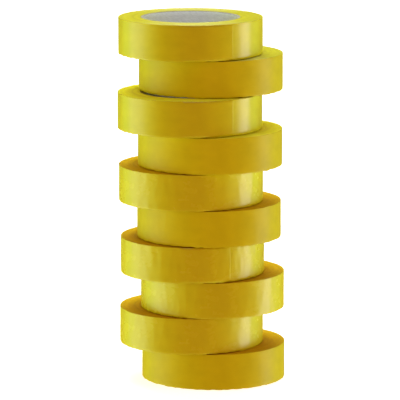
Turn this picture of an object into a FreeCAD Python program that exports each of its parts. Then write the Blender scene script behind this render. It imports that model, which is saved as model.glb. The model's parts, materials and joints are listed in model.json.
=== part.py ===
import FreeCAD, Part
import math
import os

import Sketcher

# A stack of ten rolls of masking tape, piled loosely so that the rolls lean left and right by turns.
# Each roll is three pieces: a paperboard core, the tape wound on it, and the loose end of the tape.
# Frame: millimetres, +Z up, front towards -Y, with the origin on the surface that the stack stands
# on, under the middle of the stack's box.

DIMENSIONS = [
    ("tape_width", 30.0, "width of the tape, and height of a roll lying flat"),
    ("tape_thickness", 0.115, "thickness of one layer of tape"),
    ("roll_diameter", 118.0, "outside diameter over the last full layer"),
    ("core_bore", 76.2, "inside diameter of the core: the standard 3 inches"),
    ("core_wall", 2.4, "wall of the paperboard core"),
    ("core_recess", 0.3, "how far the core sits below each side of the tape"),
    ("core_edge_break", 0.3, "chamfer on the inner edges of the core"),
    ("end_length", 36.0, "length of the loose end of the tape, along its curve"),
    ("end_lift", 0.02, "gap between the loose end and the layer below it"),
    ("end_root_gap", 0.3, "gap between the step of the winding and the root of the end"),
    ("end_side_inset", 0.08, "how far the loose end sits below each side of the roll"),
]

# Where each roll lies, from the bottom of the stack to the top: sideways (X), depth (Y), and the
# angle about +Z, from +X, at which the last layer of tape becomes the loose end.
ROLLS = [
    (9.6, 7.75, 62.0),
    (-8.4, 5.75, 118.0),
    (8.9, 3.25, 20.0),
    (-7.6, -1.25, 266.0),
    (6.0, -3.25, 85.0),
    (-8.8, -5.25, 140.0),
    (6.8, -6.75, 41.0),
    (-9.6, -7.75, 270.8),
    (7.4, 7.75, 104.0),
    (-9.1, 2.25, 270.0),
]

# Sketcher's numbers for the points of an element, and for the X axis, whose start is the origin.
START, END, CENTRE = 1, 2, 3
ORIGIN = -1


def fill_sheet(document):
    """The driving dimensions, one per row: name, value, meaning."""
    sheet = document.addObject("Spreadsheet::Sheet", "Dimensions")
    rows = list(DIMENSIONS)
    for number, (side, depth, angle) in enumerate(ROLLS, 1):
        rows.append((f"side_{number:02d}", side, f"roll {number}: offset along X"))
        rows.append((f"depth_{number:02d}", depth, f"roll {number}: offset along Y"))
        rows.append((f"angle_{number:02d}", angle, f"roll {number}: angle of the end's root"))
    for row, (alias, value, meaning) in enumerate(rows, 1):
        sheet.set(f"A{row}", alias)
        sheet.set(f"B{row}", str(value))
        sheet.set(f"C{row}", meaning)
        sheet.setAlias(f"B{row}", alias)
    document.recompute()
    return sheet


def add_body(document, label, number, height):
    """A body that stands at its roll's place, turned with the roll, at a height in the roll."""
    body = document.addObject("PartDesign::Body", label)
    body.Label = label
    body.setExpression("Placement.Base.x", f"Dimensions.side_{number:02d}")
    body.setExpression("Placement.Base.y", f"Dimensions.depth_{number:02d}")
    body.setExpression("Placement.Base.z", f"{number - 1} * Dimensions.tape_width + {height}")
    body.setExpression("Placement.Rotation.Angle", f"Dimensions.angle_{number:02d}")
    return body


def add_sketch(body):
    """An empty sketch on the body's own XY plane."""
    plane = next(f for f in body.Origin.OriginFeatures if f.Role == "XY_Plane")
    sketch = body.newObject("Sketcher::SketchObject", body.Label + "_sketch")
    sketch.AttachmentSupport = [(plane, "")]
    sketch.MapMode = "FlatFace"
    return sketch


def add_pad(body, sketch, length):
    """The sketch, padded up along +Z by an expression."""
    pad = body.newObject("PartDesign::Pad", body.Label + "_pad")
    pad.Profile = sketch
    pad.setExpression("Length", length)
    return pad


def bind(sketch, constraint, name, expression):
    """Add a named constraint and drive it from the sheet."""
    index = sketch.addConstraint(constraint)
    sketch.renameConstraint(index, name)
    sketch.setExpression(f"Constraints.{name}", expression)


def add_circle(sketch, radius, name, diameter):
    """A circle about the sketch's origin."""
    circle = Part.Circle(FreeCAD.Vector(0, 0, 0), FreeCAD.Vector(0, 0, 1), radius)
    index = sketch.addGeometry(circle)
    sketch.addConstraint(Sketcher.Constraint("Coincident", index, CENTRE, ORIGIN, START))
    bind(sketch, Sketcher.Constraint("Diameter", index, 2 * radius), name, diameter)


def add_arc(sketch, centre_x, radius, first, last):
    """An arc about a point of the sketch's X axis, between two angles in radians."""
    centre = FreeCAD.Vector(centre_x, 0, 0)
    circle = Part.Circle(centre, FreeCAD.Vector(0, 0, 1), radius)
    return sketch.addGeometry(Part.ArcOfCircle(circle, first, last))


def add_line(sketch, start, end):
    return sketch.addGeometry(Part.LineSegment(FreeCAD.Vector(*start), FreeCAD.Vector(*end)))


def join(sketch, one, one_point, other, other_point):
    sketch.addConstraint(Sketcher.Constraint("Coincident", one, one_point, other, other_point))


def put_on_axis(sketch, element, point):
    """Hold a point of an element on the sketch's X axis."""
    sketch.addConstraint(Sketcher.Constraint("PointOnObject", element, point, ORIGIN))


def add_core(document, sheet, number):
    """The paperboard tube: a ring, padded, with its inner edges broken."""
    label = f"roll_{number:02d}_core"
    body = add_body(document, label, number, "Dimensions.core_recess")
    sketch = add_sketch(body)
    bore = sheet.core_bore
    outside = bore + 2 * sheet.core_wall
    add_circle(sketch, bore / 2, "bore", "Dimensions.core_bore")
    add_circle(
        sketch, outside / 2, "outside", "Dimensions.core_bore + 2 * Dimensions.core_wall"
    )
    pad = add_pad(body, sketch, "Dimensions.tape_width - 2 * Dimensions.core_recess")
    document.recompute()
    inner_edges = [
        f"Edge{index}"
        for index, edge in enumerate(pad.Shape.Edges, 1)
        if isinstance(edge.Curve, Part.Circle) and abs(edge.Curve.Radius - bore / 2) < 1e-6
    ]
    chamfer = body.newObject("PartDesign::Chamfer", label + "_chamfer")
    chamfer.Base = (pad, inner_edges)
    chamfer.setExpression("Size", "Dimensions.core_edge_break")
    return body


def add_winding(document, sheet, number):
    """All the layers of tape as one ring.

    Its outline is one turn of the spiral in two half circles. They meet smoothly on one side, and on
    the other, where the last layer leaves the roll, there is a step of one thickness of tape.
    """
    label = f"roll_{number:02d}_winding"
    body = add_body(document, label, number, "0")
    sketch = add_sketch(body)
    radius = sheet.roll_diameter / 2
    layer = sheet.tape_thickness
    outer = add_arc(sketch, layer / 4, radius - layer / 4, math.pi, 2 * math.pi)
    inner = add_arc(sketch, -layer / 4, radius - 3 * layer / 4, 0, math.pi)
    step = add_line(sketch, (radius - layer, 0, 0), (radius, 0, 0))
    for point in (START, END, CENTRE):
        put_on_axis(sketch, outer, point)
    put_on_axis(sketch, inner, CENTRE)
    join(sketch, inner, END, outer, START)
    join(sketch, outer, END, step, END)
    join(sketch, inner, START, step, START)
    sketch.addConstraint(Sketcher.Constraint("Horizontal", step))
    bind(
        sketch,
        Sketcher.Constraint("Radius", outer, radius - layer / 4),
        "outer_half",
        "Dimensions.roll_diameter / 2 - Dimensions.tape_thickness / 4",
    )
    bind(
        sketch,
        Sketcher.Constraint("DistanceX", ORIGIN, START, outer, CENTRE, layer / 4),
        "spiral_shift",
        "Dimensions.tape_thickness / 4",
    )
    bind(
        sketch,
        Sketcher.Constraint("DistanceX", step, START, step, END, layer),
        "step_height",
        "Dimensions.tape_thickness",
    )
    hole = sheet.core_bore + 2 * sheet.core_wall
    add_circle(sketch, hole / 2, "hole", "Dimensions.core_bore + 2 * Dimensions.core_wall")
    add_pad(body, sketch, "Dimensions.tape_width")
    return body


def add_tape_end(document, sheet, number):
    """The loose end of the tape: a curved strip that lies on the layer below, past the step."""
    label = f"roll_{number:02d}_tape_end"
    body = add_body(document, label, number, "Dimensions.end_side_inset")
    sketch = add_sketch(body)
    layer = sheet.tape_thickness
    centre_x = -layer / 4
    under = sheet.roll_diameter / 2 - 3 * layer / 4 + sheet.end_lift
    root = sheet.end_root_gap / under
    tip = root + sheet.end_length / under
    below = add_arc(sketch, centre_x, under, root, tip)
    above = add_arc(sketch, centre_x, under + layer, root, tip)
    put_on_axis(sketch, below, CENTRE)
    join(sketch, below, CENTRE, above, CENTRE)
    bind(
        sketch,
        Sketcher.Constraint("DistanceX", below, CENTRE, ORIGIN, START, layer / 4),
        "spiral_shift",
        "Dimensions.tape_thickness / 4",
    )
    under_radius = (
        "Dimensions.roll_diameter / 2 - 3 * Dimensions.tape_thickness / 4 + Dimensions.end_lift"
    )
    bind(sketch, Sketcher.Constraint("Radius", below, under), "underside", under_radius)
    bind(
        sketch,
        Sketcher.Constraint("Radius", above, under + layer),
        "topside",
        under_radius + " + Dimensions.tape_thickness",
    )
    cuts = (
        ("root_angle", root, START, "Dimensions.end_root_gap"),
        ("tip_angle", tip, END, "(Dimensions.end_root_gap + Dimensions.end_length)"),
    )
    for name, angle, point, along in cuts:
        low = (centre_x + under * math.cos(angle), under * math.sin(angle), 0)
        outside = under + layer
        high = (centre_x + outside * math.cos(angle), outside * math.sin(angle), 0)
        cut = add_line(sketch, low, high)
        join(sketch, cut, START, below, point)
        join(sketch, cut, END, above, point)
        sketch.addConstraint(Sketcher.Constraint("PointOnObject", below, CENTRE, cut))
        bind(
            sketch,
            Sketcher.Constraint("Angle", cut, angle),
            name,
            f"{along} / (Dimensions.roll_diameter / 2) * 180 / pi",
        )
    add_pad(body, sketch, "Dimensions.tape_width - 2 * Dimensions.end_side_inset")
    return body


def check(document, pieces):
    """Stop if any object failed to build, or any piece isn't one valid solid."""
    for thing in document.Objects:
        if {"Invalid", "Error"} & set(thing.State):
            raise RuntimeError(f"{thing.Label} failed: {thing.State}")
    for piece in pieces:
        shape = piece.Shape
        if shape.isNull() or not shape.isValid() or len(shape.Solids) != 1:
            raise RuntimeError(f"{piece.Label} isn't one valid solid")


os.makedirs("parts", exist_ok=True)
document = FreeCAD.newDocument("MaskingTapeStack")
sheet = fill_sheet(document)
pieces = []
for number in range(1, len(ROLLS) + 1):
    pieces.append(add_core(document, sheet, number))
    pieces.append(add_winding(document, sheet, number))
    pieces.append(add_tape_end(document, sheet, number))
document.recompute()
check(document, pieces)
for piece in pieces:
    piece.Shape.exportStep(f"parts/{piece.Label}.step")
    print(piece.Label, round(piece.Shape.Volume, 1))
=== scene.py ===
"""A loose stack of ten rolls of glossy yellow masking tape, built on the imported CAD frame."""

import json
import math
import random

import bpy
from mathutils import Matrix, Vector, noise


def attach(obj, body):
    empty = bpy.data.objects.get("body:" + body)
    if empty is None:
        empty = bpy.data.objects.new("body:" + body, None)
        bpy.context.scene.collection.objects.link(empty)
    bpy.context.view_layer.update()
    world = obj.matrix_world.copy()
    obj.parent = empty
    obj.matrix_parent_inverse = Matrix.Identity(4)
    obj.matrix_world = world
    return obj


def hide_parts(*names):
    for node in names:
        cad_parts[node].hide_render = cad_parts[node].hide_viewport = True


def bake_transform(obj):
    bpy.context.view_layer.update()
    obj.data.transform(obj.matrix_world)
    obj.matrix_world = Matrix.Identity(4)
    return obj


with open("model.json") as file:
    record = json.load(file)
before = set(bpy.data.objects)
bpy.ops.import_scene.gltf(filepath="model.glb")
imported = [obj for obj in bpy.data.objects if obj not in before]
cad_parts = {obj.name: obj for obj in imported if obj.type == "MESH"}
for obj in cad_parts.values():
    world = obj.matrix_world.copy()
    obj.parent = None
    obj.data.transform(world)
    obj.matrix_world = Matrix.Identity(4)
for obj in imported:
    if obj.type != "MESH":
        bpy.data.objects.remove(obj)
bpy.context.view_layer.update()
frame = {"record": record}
record = frame["record"]
scene = bpy.context.scene

MM = 0.001
ROLLS = 10
STEPS_AROUND = 288
ANGLES = [math.tau * step / STEPS_AROUND for step in range(STEPS_AROUND)]

# The tape and its core, as the CAD has them.
TAPE_WIDTH = 30 * MM
TAPE_THICKNESS = 0.115 * MM
ROLL_RADIUS = 59 * MM
CORE_INSIDE = 38.1 * MM
CORE_OUTSIDE = 40.5 * MM
CORE_RECESS = 0.3 * MM
CORE_EDGE_BREAK = 0.3 * MM
END_LENGTH = 36 * MM

# Rolls are numbered from the bottom of the stack. They differ in their finish and their winding;
# the sides of rolls 7 and 8 carry painted light, and those of rolls 1 to 6 painted shade.
DULLER_ROLLS = (1, 5, 7, 9)
CREASED_ROLLS = (2, 3, 4, 6)
NEATER_ROLLS = (7, 8, 9, 10)
LEMON_SIDED_ROLLS = (9, 10)
PAINTED_LIGHT_SIDE_ROLLS = (7, 8)

# The outer wall of a winding: its rows, its waves and the creases across the tape.
WALL_LOW = 2.2 * MM
WALL_HIGH = 29.2 * MM
WALL_ROWS = 17
NEATER_WAVES = 0.02 * MM
LOOSER_WAVES = 0.05 * MM
SLOW_WAVES_PER_RADIUS = 1.6
QUICK_WAVES_PER_RADIUS = 5.5
SLOW_WAVE_SHARE = 1.6
WAVE_CHANGE_ACROSS = 1.3
EDGE_EASE = 0.03 * MM
DEEP_CREASES = 0.15 * MM
SHALLOW_CREASES = 0.06 * MM
FAINT_CREASES = 0.012 * MM
CREASES_PER_RADIUS = 13
CREASE_LENGTH = 24 * MM
CREASE_LEANS = (-0.17, 0.2)
SPIRAL_STEP = 2.5 / 360

# The rims and the sides of a winding. Each of RAGS is a share and its waves per radius, and APART
# keeps the rags of the two sides unlike.
RIM_ROUNDING = 0.15 * MM
RIM_PARTS = (0.33, 0.66, 1)
TOP_RECESS = 0.18 * MM
BOTTOM_RECESS = 0.5 * MM
RECESS_WIDTH = 7 * MM
RECESS_RAGGEDNESS = 0.8
RAGS = ((0.4, 2.5), (1.3, 14))
APART = 7
SIDE_RINGS = 34
RING_DEPTH = 0.16 * MM
WINDING_INSIDE = CORE_OUTSIDE + 0.02 * MM
SIDE_SPAN = ROLL_RADIUS - RIM_ROUNDING - WINDING_INSIDE
INSIDE_INSET = 0.2 * MM

# The core's board: rows, the step between plies at its cut edges, and its spiral seam.
BORE_ROWS = 9
EDGE_ROWS = 5
BACK_ROWS = 7
PLY_STEP = 0.05 * MM
EDGE_CORNER = 0.1 * MM
GRAIN_DEPTH = 0.03 * MM
GRAINS_PER_RADIUS = 9
GRAIN_CHANGE_UP = 40
SEAM_ADVANCE = 110 * MM
SEAM_DEPTHS = (0.1 * MM, 0.16 * MM, 0.05 * MM)

# The tape end. It starts a little before its root, under the surface, and its tip lifts.
END_COLUMNS = 88
END_LOW = 0.9 * MM
END_HIGH = TAPE_WIDTH - 0.35 * MM
TUCK_ANGLE = math.radians(8)
RISE_ANGLE = math.radians(5)
TUCK_DEPTH = 0.03 * MM
END_PROUD = 0.02 * MM
TIP_SHARE = 0.2
TIP_LIFT = 0.17 * MM
END_ANGLE = END_LENGTH / ROLL_RADIUS
END_HEIGHTS = [END_LOW + (END_HIGH - END_LOW) * row / (WALL_ROWS - 1) for row in range(WALL_ROWS)]

# Numbers of the materials in a skin: the wall or bore, and the edges of the layers or plies.
FACE = 0
EDGE = 1

# How far the film's roughness strays either way.
ROUGHNESS_MOTTLE = 0.03

# The studio.
WHITE = (1, 1, 1)
FLOOR_HALF_SIDE = 12.0
FLOOR_DROP = 0.2 * MM
PANEL_SOFTNESS = 7
SIDE_PANEL_HEIGHTS = (-45, 18)


def mount_named(name):
    return next(mount for mount in record["mounts"] if mount["name"] == name)


def joint_named(name):
    return next(joint for joint in record["behaviour"]["joints"] if joint["name"] == name)


def roll_axis(number):
    """The point where a roll's axis meets the plane that the roll lies on."""
    x, y, z = mount_named(f"core_bore_{number:02d}")["pos_m"]
    return Vector((x, y, z - TAPE_WIDTH / 2))


def root_angle(number):
    """The angle about +Z at which a roll's last layer becomes its loose end."""
    x, y, _ = joint_named(f"peel_{number:02d}")["pos_m"]
    axis = roll_axis(number)
    return math.atan2(y - axis.y, x - axis.x)


def direction(angle):
    """A unit vector at an angle about +Z."""
    return Vector((math.cos(angle), math.sin(angle), 0))


# Materials


def new_material(name):
    """A node material with its nodes, its links and its Principled shader."""
    material = bpy.data.materials.new(name)
    material.use_nodes = True
    nodes, links = material.node_tree.nodes, material.node_tree.links
    return material, nodes, links, nodes["Principled BSDF"]


def surface_noise(nodes, links, scale, detail):
    """Noise over the surface, which is measured in metres.

    U runs round the roll, and V runs across the tape or along the radius. scale is in waves a metre
    each way.
    """
    place = nodes.new("ShaderNodeUVMap")
    place.uv_map = "surface"
    mapping = nodes.new("ShaderNodeMapping")
    mapping.inputs["Scale"].default_value = (*scale, 1)
    links.new(place.outputs["UV"], mapping.inputs["Vector"])
    texture = nodes.new("ShaderNodeTexNoise")
    texture.inputs["Scale"].default_value = 1.0
    texture.inputs["Detail"].default_value = detail
    links.new(mapping.outputs["Vector"], texture.inputs["Vector"])
    return texture.outputs["Fac"]


def mottle(nodes, links, value, colour, darkest, lightest, margin):
    """A colour between two shades of itself, as a 0 to 1 value goes between its margins."""
    node = nodes.new("ShaderNodeValToRGB")
    low, high = node.color_ramp.elements
    low.position, high.position = margin, 1 - margin
    low.color = (*(darkest * part for part in colour), 1)
    high.color = (*(min(1, lightest * part) for part in colour), 1)
    links.new(value, node.inputs["Fac"])
    return node.outputs["Color"]


def spread(nodes, links, value, low, high):
    """A 0 to 1 value, spread between two limits."""
    node = nodes.new("ShaderNodeMapRange")
    node.inputs["To Min"].default_value = low
    node.inputs["To Max"].default_value = high
    links.new(value, node.inputs["Value"])
    return node.outputs["Result"]


def bump(nodes, links, height, distance, strength, under=None):
    """A bumped normal, on top of another one if it is given."""
    node = nodes.new("ShaderNodeBump")
    node.inputs["Distance"].default_value = distance
    node.inputs["Strength"].default_value = strength
    links.new(height, node.inputs["Height"])
    if under is not None:
        links.new(under, node.inputs["Normal"])
    return node.outputs["Normal"]


def film_material(name, colour, roughness, gloss, matt):
    """Smooth tape backing, with a barely mottled colour and roughness."""
    material, nodes, links, shader = new_material(name)
    clouds = surface_noise(nodes, links, (60, 90), detail=3)
    shade = mottle(nodes, links, clouds, colour, darkest=0.93, lightest=1.05, margin=0.3)
    links.new(shade, shader.inputs["Base Color"])
    low, high = roughness - ROUGHNESS_MOTTLE, roughness + ROUGHNESS_MOTTLE
    rough = spread(nodes, links, clouds, low, high)
    links.new(rough, shader.inputs["Roughness"])
    shader.inputs["Specular IOR Level"].default_value = gloss
    shader.inputs["Diffuse Roughness"].default_value = matt
    return material


def layers_material(name, colour, gloss):
    """The sides of the roll: the edges of many layers of tape, as fine rings."""
    material, nodes, links, shader = new_material(name)
    rings = surface_noise(nodes, links, (1.5, 1500), detail=2)
    bands = surface_noise(nodes, links, (4, 260), detail=2)
    shade = mottle(nodes, links, bands, colour, darkest=0.82, lightest=1.08, margin=0.3)
    links.new(shade, shader.inputs["Base Color"])
    shader.inputs["Roughness"].default_value = 0.5
    shader.inputs["Specular IOR Level"].default_value = gloss
    shader.inputs["Anisotropic"].default_value = 0.9
    shader.inputs["Anisotropic Rotation"].default_value = 0.25
    tangent = nodes.new("ShaderNodeTangent")
    tangent.direction_type = "UV_MAP"
    tangent.uv_map = "surface"
    links.new(tangent.outputs["Tangent"], shader.inputs["Tangent"])
    banded = bump(nodes, links, bands, distance=0.12 * MM, strength=0.5)
    ringed = bump(nodes, links, rings, distance=0.05 * MM, strength=0.7, under=banded)
    links.new(ringed, shader.inputs["Normal"])
    return material


def board_material(name, colour, grain):
    """Paperboard: fibres and specks."""
    material, nodes, links, shader = new_material(name)
    fibres = surface_noise(nodes, links, grain, detail=4)
    shade = mottle(nodes, links, fibres, colour, darkest=0.86, lightest=1.08, margin=0.35)
    links.new(shade, shader.inputs["Base Color"])
    shader.inputs["Roughness"].default_value = 0.85
    shader.inputs["Specular IOR Level"].default_value = 0.25
    rough = bump(nodes, links, fibres, distance=0.08 * MM, strength=0.4)
    links.new(rough, shader.inputs["Normal"])
    return material


FILM = film_material(
    "yellow_film", (0.64, 0.55, 0.012), roughness=0.22, gloss=0.5, matt=0.0
)
CREASED_FILM = film_material(
    "rippled_yellow_film", (0.66, 0.565, 0.013), roughness=0.27, gloss=0.5, matt=0.0
)
DULLER_FILM = film_material(
    "duller_yellow_film", (0.61, 0.525, 0.016), roughness=0.34, gloss=0.14, matt=0.35
)
LEMON_LAYERS = layers_material("tape_layers", (0.6, 0.57, 0.022), gloss=0.6)
# Painted light: the sides of rolls 7 and 8 are made brighter to stand for the light that falls on
# them.
PAINTED_LIGHT_LAYERS = layers_material("tape_layers_painted_light", (0.97, 0.92, 0.03), gloss=0.2)
# Painted shade: the sides of rolls 1 to 6 are darker and more orange, standing for the shade lower
# in the stack.
PAINTED_SHADE_LAYERS = layers_material("tape_layers_painted_shade", (0.62, 0.4, 0.012), gloss=0.03)
LINER = board_material("core_liner", (0.62, 0.62, 0.60), grain=(900, 500))
BOARD = board_material("core_edge", (0.31, 0.27, 0.23), grain=(400, 4000))


def film_of(number):
    """The backing of a roll's tape: smooth and glossy, slightly creased, or duller."""
    if number in DULLER_ROLLS:
        return DULLER_FILM
    return CREASED_FILM if number in CREASED_ROLLS else FILM


def layers_of(number):
    """The sides of a roll: lemon near the top of the stack, painted lighter on rolls 7 and 8 as
    painted light, and more orange lower down as painted shade.
    """
    if number in LEMON_SIDED_ROLLS:
        return LEMON_LAYERS
    return PAINTED_LIGHT_LAYERS if number in PAINTED_LIGHT_SIDE_ROLLS else PAINTED_SHADE_LAYERS


# Meshes


def add_object(name, mesh, materials):
    """A new object in the scene, smooth, with its materials."""
    for material in materials:
        mesh.materials.append(material)
    for polygon in mesh.polygons:
        polygon.use_smooth = True
    thing = bpy.data.objects.new(name, mesh)
    scene.collection.objects.link(thing)
    return thing


class Skin:
    """A closed skin over rows of points, each of which runs round the roll.

    The last row joins the first. A row's measure is what the texture's V goes by: a height on a
    wall, and a radius on a side. Its kind is the material between it and the next row.
    """

    def __init__(self, radius):
        self.length_around = math.tau * radius
        self.rows = []
        self.measures = []
        self.kinds = []

    def add_row(self, points, measure, kind):
        self.rows.append(points)
        self.measures.append(measure)
        self.kinds.append(kind)

    def add_ring(self, radii, heights, measure, kind):
        """A row of points at the usual angles, each with its own radius and height."""
        points = [
            (radius * math.cos(angle), radius * math.sin(angle), height)
            for angle, radius, height in zip(ANGLES, radii, heights)
        ]
        self.add_row(points, measure, kind)

    def faces(self):
        for row in range(len(self.rows)):
            low = row * STEPS_AROUND
            high = (row + 1) % len(self.rows) * STEPS_AROUND
            for step in range(STEPS_AROUND):
                after = (step + 1) % STEPS_AROUND
                yield low + step, low + after, high + after, high + step

    def corners(self, row, step):
        """The texture coordinates of a face's corners."""
        above = (row + 1) % len(self.rows)
        left = step / STEPS_AROUND * self.length_around
        right = (step + 1) / STEPS_AROUND * self.length_around
        low, high = self.measures[row], self.measures[above]
        if self.kinds[row] != self.kinds[above]:
            high = low
        return (left, low), (right, low), (right, high), (left, high)

    def build(self, name, materials):
        mesh = bpy.data.meshes.new(name)
        mesh.from_pydata([point for row in self.rows for point in row], [], list(self.faces()))
        layer = mesh.uv_layers.new(name="surface")
        for polygon in mesh.polygons:
            row, step = divmod(polygon.index, STEPS_AROUND)
            for loop, corner in zip(polygon.loop_indices, self.corners(row, step)):
                layer.data[loop].uv = corner
            polygon.material_index = self.kinds[row]
        return add_object(name, mesh, materials)


class Winding:
    """The shape of one roll's wound tape, in polar coordinates about its own axis."""

    def __init__(self, number):
        self.number = number
        self.axis = roll_axis(number)
        self.root = root_angle(number)
        self.random = random.Random(number)
        # It keeps each roll's noise unlike the others'.
        self.seed = Vector((number * 3.7, number * 1.9, 0))
        self.waves = NEATER_WAVES if number in NEATER_ROLLS else LOOSER_WAVES
        self.creases = FAINT_CREASES if number in NEATER_ROLLS else SHALLOW_CREASES
        if number in CREASED_ROLLS:
            self.creases = DEEP_CREASES

    def past_root(self, angle):
        """How far an angle is past the root, anticlockwise, from 0 to a full turn."""
        return (angle - self.root) % math.tau

    def bulge(self, angle, height):
        """Slight unevenness of the outer wall: waves, creases and eased edges."""
        around = direction(angle)
        across = 2 * height / TAPE_WIDTH - 1
        lifted = Vector((0, 0, WAVE_CHANGE_ACROSS * across))
        slow = noise.noise(around * SLOW_WAVES_PER_RADIUS + self.seed)
        quick = noise.noise(around * QUICK_WAVES_PER_RADIUS + self.seed + lifted)
        waves = self.waves * (SLOW_WAVE_SHARE * slow + quick)
        return waves - EDGE_EASE * across * across + self.crease(angle, height)

    def crease(self, angle, height):
        """Faint creases across the tape, some leaning one way and some the other."""
        total = 0
        for lean in CREASE_LEANS:
            around = direction(angle + lean * height / ROLL_RADIUS) * CREASES_PER_RADIUS
            total += noise.noise(around + Vector((lean, 0, height / CREASE_LENGTH)) + self.seed)
        return self.creases * total

    def recess(self, angle, inwards, top):
        """How far a side lies below the full width: uneven, and most at the rim."""
        own_side = Vector((0, 0, APART if top else 0))
        at = direction(angle) + own_side + self.seed
        ragged = sum(share * noise.noise(at * waves) for share, waves in RAGS)
        depth = (TOP_RECESS if top else BOTTOM_RECESS) * (1 + RECESS_RAGGEDNESS * ragged)
        return max(0, depth) * max(0, 1 - (inwards / RECESS_WIDTH) ** 4)

    def outer_radius(self, angle, height):
        """One turn of the spiral, which drops by one layer just before the root."""
        turn = self.past_root(angle) / math.tau
        spiral = ROLL_RADIUS - TAPE_THICKNESS * (1 - turn)
        step_start = 1 - SPIRAL_STEP
        if turn > step_start:
            spiral -= TAPE_THICKNESS * (turn - step_start) / SPIRAL_STEP
        return spiral + self.bulge(angle, height)


def heights_at(drops, top):
    """Heights, from how far they lie in from the top side or the bottom one."""
    return [TAPE_WIDTH - drop for drop in drops] if top else drops


def add_wall_row(skin, shape, heights, set_in, measure):
    """A row of the outer wall or of a rim, set in from the wall."""
    radii = [
        shape.outer_radius(angle, height) - set_in for angle, height in zip(ANGLES, heights)
    ]
    skin.add_ring(radii, heights, measure, FACE)


def add_rim(skin, shape, parts, top):
    """Rows at parts of the way round a rim's quarter circle, from the wall to the side."""
    for part in parts:
        turn = part * math.pi / 2
        drop = RIM_ROUNDING * (1 - math.sin(turn))
        drops = [drop + shape.recess(angle, 0, top) for angle in ANGLES]
        set_in = RIM_ROUNDING * (1 - math.cos(turn))
        add_wall_row(skin, shape, heights_at(drops, top), set_in, TAPE_WIDTH if top else 0)


def add_side(skin, shape, depths, rings, top):
    """Rings of a side, counted from the rim, each at its own depth among the layers' edges."""
    for ring in rings:
        inwards = SIDE_SPAN * (ring + 0.5) / SIDE_RINGS
        drops = [depths[ring] + shape.recess(angle, inwards, top) for angle in ANGLES]
        heights = heights_at(drops, top)
        radii = []
        for angle, height in zip(ANGLES, heights):
            span = shape.outer_radius(angle, height) - RIM_ROUNDING - WINDING_INSIDE
            radii.append(WINDING_INSIDE + span * (1 - inwards / SIDE_SPAN))
        skin.add_ring(radii, heights, ROLL_RADIUS - inwards, EDGE)


def build_winding(shape):
    """One roll's wound tape: rounded rims, a spiral outer wall and ringed sides."""
    skin = Skin(ROLL_RADIUS)
    depths = [RING_DEPTH * shape.random.random() ** 1.5 for _ in range(2 * SIDE_RINGS)]
    bottom_depths, top_depths = depths[:SIDE_RINGS], depths[SIDE_RINGS:]
    rings = range(SIDE_RINGS)
    add_rim(skin, shape, reversed(RIM_PARTS), False)
    for row in range(WALL_ROWS):
        height = WALL_LOW + (WALL_HIGH - WALL_LOW) * row / (WALL_ROWS - 1)
        add_wall_row(skin, shape, [height] * STEPS_AROUND, 0, height)
    add_rim(skin, shape, RIM_PARTS, True)
    add_side(skin, shape, top_depths, rings, True)
    inside = [WINDING_INSIDE] * STEPS_AROUND
    for height in (TAPE_WIDTH - INSIDE_INSET, INSIDE_INSET):
        skin.add_ring(inside, [height] * STEPS_AROUND, WINDING_INSIDE, EDGE)
    add_side(skin, shape, bottom_depths, reversed(rings), False)
    thing = skin.build(
        f"winding_{shape.number:02d}", (film_of(shape.number), layers_of(shape.number))
    )
    thing.location = shape.axis
    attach(thing, f"roll_{shape.number:02d}")
    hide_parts(f"roll_{shape.number:02d}_winding")


def board_points(shape, radius, height, seam_depths):
    """A ring of the core, turned with its height so that the seam runs as a spiral."""
    points = []
    for step, angle in enumerate(ANGLES):
        angle += math.tau * height / SEAM_ADVANCE + shape.root
        around = direction(angle) + Vector((0, 0, height * GRAIN_CHANGE_UP))
        at = radius + GRAIN_DEPTH * noise.noise(around * GRAINS_PER_RADIUS)
        if step < len(seam_depths):
            at += seam_depths[step]
        points.append((at * math.cos(angle), at * math.sin(angle), height))
    return points


def build_core(shape):
    """The paperboard tube: a liner with its spiral seam inside, and rough cut edges."""
    skin = Skin(CORE_INSIDE)
    low, high = CORE_RECESS, TAPE_WIDTH - CORE_RECESS
    wall = CORE_OUTSIDE - CORE_INSIDE - CORE_EDGE_BREAK

    def add_board(radius, height, measure, kind=EDGE, seam_depths=()):
        skin.add_row(board_points(shape, radius, height, seam_depths), measure, kind)

    for row in range(BORE_ROWS):
        bore = high - low - 2 * CORE_EDGE_BREAK
        height = high - CORE_EDGE_BREAK - bore * row / (BORE_ROWS - 1)
        add_board(CORE_INSIDE, height, height, FACE, SEAM_DEPTHS)
    add_board(CORE_INSIDE + EDGE_CORNER, low + EDGE_CORNER, low)
    for row in range(EDGE_ROWS):
        radius = CORE_INSIDE + CORE_EDGE_BREAK + wall * row / (EDGE_ROWS - 1)
        add_board(radius, low + PLY_STEP * (row % 2), radius)
    for row in range(BACK_ROWS):
        height = low + (high - low) * (row + 1) / (BACK_ROWS + 1)
        add_board(CORE_OUTSIDE, height, height)
    for row in range(EDGE_ROWS):
        radius = CORE_OUTSIDE - wall * row / (EDGE_ROWS - 1)
        add_board(radius, high - PLY_STEP * (row % 2), radius)
    add_board(CORE_INSIDE + EDGE_CORNER, high - EDGE_CORNER, high)

    thing = skin.build(f"core_{shape.number:02d}", (LINER, BOARD))
    thing.location = shape.axis
    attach(thing, f"roll_{shape.number:02d}")
    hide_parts(f"roll_{shape.number:02d}_core")


def past_at(column):
    """The angle of a column of the tape end, counted from the root."""
    return (TUCK_ANGLE + END_ANGLE) * column / END_COLUMNS - TUCK_ANGLE


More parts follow.
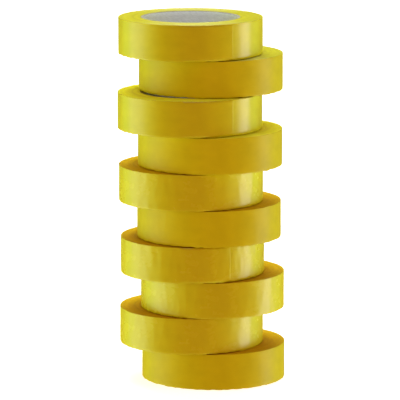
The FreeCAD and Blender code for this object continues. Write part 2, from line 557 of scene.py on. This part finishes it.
def end_line(shape, past, depth):
    """Points up one column of a tape end, at a depth below its outside."""
    rise = min(1, max(0, (past + TUCK_ANGLE) / RISE_ANGLE))
    rise = rise * rise * (3 - 2 * rise)
    lifted = max(0, past / END_ANGLE - (1 - TIP_SHARE)) / TIP_SHARE
    proud = (TUCK_DEPTH + END_PROUD) * rise - TUCK_DEPTH + TIP_LIFT * lifted * lifted
    # Before the root, the tape follows the spiral.
    spiral = ROLL_RADIUS + TAPE_THICKNESS * min(0, past) / math.tau
    angle = shape.root + past
    points = []
    for height in END_HEIGHTS:
        at = spiral + shape.bulge(angle, height) + proud - depth
        points.append(shape.axis + at * direction(angle) + Vector((0, 0, height)))
    return points


def strip_faces(columns, count):
    """The faces of a thin strip: its outside, its inside and its four edges.

    Its points go up each column, and all of the outside's come before the inside's.
    """
    offset = (columns + 1) * count
    faces = []

    def add_edge(first, second, flip):
        edge = (first, offset + first, offset + second, second)
        faces.append(edge[::-1] if flip else edge)

    for column in range(columns):
        for row in range(count - 1):
            a = column * count + row
            b = a + count
            faces.append((a, b, b + 1, a + 1))
            faces.append((offset + a, offset + a + 1, offset + b + 1, offset + b))
        for row, flip in ((0, False), (count - 1, True)):
            a = column * count + row
            add_edge(a, a + count, flip)
    for column, flip in ((0, True), (columns, False)):
        for row in range(count - 1):
            a = column * count + row
            add_edge(a, a + 1, flip)
    return faces


def build_tape_end(shape):
    """The loose end: the last layer, from just before the root to its cut edge."""
    pasts = [past_at(column) for column in range(END_COLUMNS + 1)]
    vertices = []
    for depth in (0, TAPE_THICKNESS):
        for past in pasts:
            vertices.extend(end_line(shape, past, depth))
    mesh = bpy.data.meshes.new(f"tape_end_{shape.number:02d}")
    mesh.from_pydata(vertices, [], strip_faces(END_COLUMNS, WALL_ROWS))
    layer = mesh.uv_layers.new(name="surface")
    for loop in mesh.loops:
        column, row = divmod(loop.vertex_index % (len(pasts) * WALL_ROWS), WALL_ROWS)
        along = (shape.root + pasts[column]) % math.tau * ROLL_RADIUS
        layer.data[loop.index].uv = (along, END_HEIGHTS[row])
    thing = add_object(f"tape_end_{shape.number:02d}", mesh, (film_of(shape.number),))
    along = direction(shape.root + math.pi / 2)
    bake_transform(thing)
    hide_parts(f"roll_{shape.number:02d}_tape_end")


for number in range(1, ROLLS + 1):
    shape = Winding(number)
    build_winding(shape)
    build_core(shape)
    build_tape_end(shape)


# Stage, light and camera

scene.view_settings.view_transform = "Standard"


def add_floor():
    """A wide white floor. It shows a faint shadow, and neither lights the rolls nor shades them."""
    mesh = bpy.data.meshes.new("floor")
    corners = [
        (x * FLOOR_HALF_SIDE, y * FLOOR_HALF_SIDE, 0)
        for x, y in ((-1, -1), (1, -1), (1, 1), (-1, 1))
    ]
    mesh.from_pydata(corners, [], [(0, 1, 2, 3)])
    material, _, _, shader = new_material("white_floor")
    shader.inputs["Base Color"].default_value = (0.8, 0.8, 0.8, 1)
    shader.inputs["Roughness"].default_value = 0.9
    shader.inputs["Specular IOR Level"].default_value = 0.0
    shader.inputs["Emission Color"].default_value = (*WHITE, 1)
    shader.inputs["Emission Strength"].default_value = 0.8
    mesh.materials.append(material)
    floor = bpy.data.objects.new("floor", mesh)
    floor.location.z = -FLOOR_DROP
    floor.visible_diffuse = False
    floor.visible_glossy = False
    floor.visible_shadow = False
    scene.collection.objects.link(floor)


class Room:
    """The studio: a warm dim room with soft light panels, painted on the world by direction.

    Azimuth is in degrees to the right of the front, seen from the stack, and height is in degrees
    above the horizon. The camera itself sees only a white backdrop.
    """

    def __init__(self):
        world = bpy.data.worlds.new("studio")
        scene.world = world
        world.use_nodes = True
        self.nodes, self.links = world.node_tree.nodes, world.node_tree.links
        place = self.nodes.new("ShaderNodeTexCoord").outputs["Generated"]
        split = self.nodes.new("ShaderNodeSeparateXYZ")
        self.links.new(place, split.inputs["Vector"])
        behind = self.math("MULTIPLY", split.outputs["Y"], -1.0)
        self.azimuth = self.math("ARCTAN2", split.outputs["X"], behind)
        self.height = self.math("ARCSINE", split.outputs["Z"])
        self.light = None

    def math(self, operation, first, second=None):
        """A sum over sockets or plain numbers."""
        node = self.nodes.new("ShaderNodeMath")
        node.operation = operation
        for socket, value in zip(node.inputs, (first, second)):
            if isinstance(value, (int, float)):
                socket.default_value = value
            elif value is not None:
                self.links.new(value, socket)
        return node.outputs["Value"]

    def fade(self, value, full, none):
        """1 at full and 0 at none, smoothly between, all in degrees."""
        node = self.nodes.new("ShaderNodeMapRange")
        node.interpolation_type = "SMOOTHSTEP"
        node.inputs["From Min"].default_value = math.radians(none)
        node.inputs["From Max"].default_value = math.radians(full)
        self.links.new(value, node.inputs["Value"])
        return node.outputs["Result"]

    def add(self, colour, mask=None):
        """Add a light of a colour, over a mask or everywhere."""
        node = self.nodes.new("ShaderNodeMix")
        node.data_type = "RGBA"
        node.blend_type = "ADD"
        node.inputs["Factor"].default_value = 1.0
        node.inputs["A"].default_value = (0, 0, 0, 1)
        node.inputs["B"].default_value = (*colour, 1)
        if mask is not None:
            self.links.new(mask, node.inputs["Factor"])
        if self.light is not None:
            self.links.new(self.light, node.inputs["A"])
        self.light = node.outputs["Result"]

    def panel(self, azimuth, half_width, edge, heights, colour):
        """A soft panel about an azimuth, between two heights. edge is the width of its fade."""
        turn = self.math("ABSOLUTE", self.math("SUBTRACT", self.azimuth, math.radians(azimuth)))
        other_way = self.math("ABSOLUTE", self.math("SUBTRACT", turn, math.tau))
        away = self.math("MINIMUM", turn, other_way)
        across = self.fade(away, half_width - edge / 2, half_width + edge / 2)
        low, high = heights
        rising = self.fade(self.height, low + PANEL_SOFTNESS, low - PANEL_SOFTNESS)
        falling = self.fade(self.height, high - PANEL_SOFTNESS, high + PANEL_SOFTNESS)
        mask = self.math("MULTIPLY", across, self.math("MULTIPLY", rising, falling))
        self.add(colour, mask)

    def finish(self):
        """Show the camera a white backdrop, and give everything else the room's light."""
        path = self.nodes.new("ShaderNodeLightPath")
        mix = self.nodes.new("ShaderNodeMix")
        mix.data_type = "RGBA"
        mix.inputs["B"].default_value = (*WHITE, 1)
        self.links.new(path.outputs["Is Camera Ray"], mix.inputs["Factor"])
        self.links.new(self.light, mix.inputs["A"])
        background = self.nodes["Background"]
        self.links.new(mix.outputs["Result"], background.inputs["Color"])


def add_linked_lamp(name, size, power, colour, place, aim, receivers):
    """A round lamp at a place, in metres, that points at aim and lights only its receivers."""
    light = bpy.data.lights.new(name, "AREA")
    light.shape = "DISK"
    light.size = size
    light.energy = power
    light.color = colour
    lamp = bpy.data.objects.new(name, light)
    lamp.location = place
    lamp.rotation_euler = (aim - lamp.location).to_track_quat("-Z", "Y").to_euler()
    scene.collection.objects.link(lamp)
    lit = bpy.data.collections.new("lit_by_" + name)
    for receiver in receivers:
        lit.objects.link(bpy.data.objects[receiver])
    lamp.light_linking.receiver_collection = lit


def add_camera():
    """A long lens in front of the stack, which looks down on it by about ten degrees."""
    camera_data = bpy.data.cameras.new("camera")
    camera_data.sensor_width = 36
    camera_data.lens = 320.45
    camera_data.clip_end = 50
    camera = bpy.data.objects.new("camera", camera_data)
    camera.location = (-1.389 * MM, -2878.1 * MM, 655.8 * MM)
    camera.rotation_euler = (math.radians(90 - 9.994), 0, 0)
    scene.collection.objects.link(camera)
    scene.camera = camera


add_floor()
room = Room()
room.add((0.32, 0.17, 0.06))
# In front: a warm wash, and a paler one below it.
room.panel(azimuth=0, half_width=105, edge=50, heights=(-60, 60), colour=(0.24, 0.08, 0.0))
room.panel(azimuth=0, half_width=70, edge=40, heights=(-75, -35), colour=(0.2, 0.2, 0.1))
# At the left and the right: a wide lemon panel, with a narrow bright one in it.
room.panel(azimuth=-96, half_width=36, edge=25, heights=SIDE_PANEL_HEIGHTS, colour=(0.7, 1.75, 0.4))
room.panel(azimuth=-95, half_width=17, edge=14, heights=SIDE_PANEL_HEIGHTS, colour=(1.5, 1.5, 1.3))
room.panel(azimuth=102, half_width=32, edge=25, heights=SIDE_PANEL_HEIGHTS, colour=(0.4, 1.4, 0.3))
room.panel(azimuth=97, half_width=11, edge=12, heights=SIDE_PANEL_HEIGHTS, colour=(3.6, 3.2, 3.3))
# Behind: faint at the sides' height, warm below it, and bright above it for the tops.
room.panel(azimuth=180, half_width=50, edge=30, heights=SIDE_PANEL_HEIGHTS, colour=(0.0, 0.1, 0.03))
room.panel(azimuth=180, half_width=75, edge=25, heights=(-75, -14), colour=(0.75, 0.22, 0.0))
room.panel(azimuth=180, half_width=40, edge=30, heights=(45, 75), colour=(8.0, 8.5, 6.0))
# Low at both sides, and a bluish cap overhead.
room.panel(azimuth=-100, half_width=60, edge=20, heights=(-80, -40), colour=(0.25, 0.4, 0.1))
room.panel(azimuth=100, half_width=60, edge=20, heights=(-80, -40), colour=(0.5, 0.8, 0.2))
room.panel(azimuth=0, half_width=180, edge=0.1, heights=(68, 100), colour=(0.4, 1.2, 1.6))
room.finish()

# Over the top roll, so that its core's inside is grey and not yellow.
add_linked_lamp(
    "core_lamp",
    size=0.3,
    power=5.5,
    colour=(0.55, 0.82, 1.1),
    place=(0, -0.5, 1.0),
    aim=roll_axis(ROLLS),
    receivers=[f"core_{ROLLS:02d}"],
)
# In front, for the duller rolls, which catch less of the light at the sides.
add_linked_lamp(
    "front_lamp",
    size=0.6,
    power=4.9,
    colour=(1.0, 0.7, 0.05),
    place=(0, -2.0, 0.2),
    aim=Vector((0, 0, 0.15)),
    receivers=[f"{piece}_{n:02d}" for piece in ("winding", "tape_end") for n in DULLER_ROLLS],
)
add_camera()
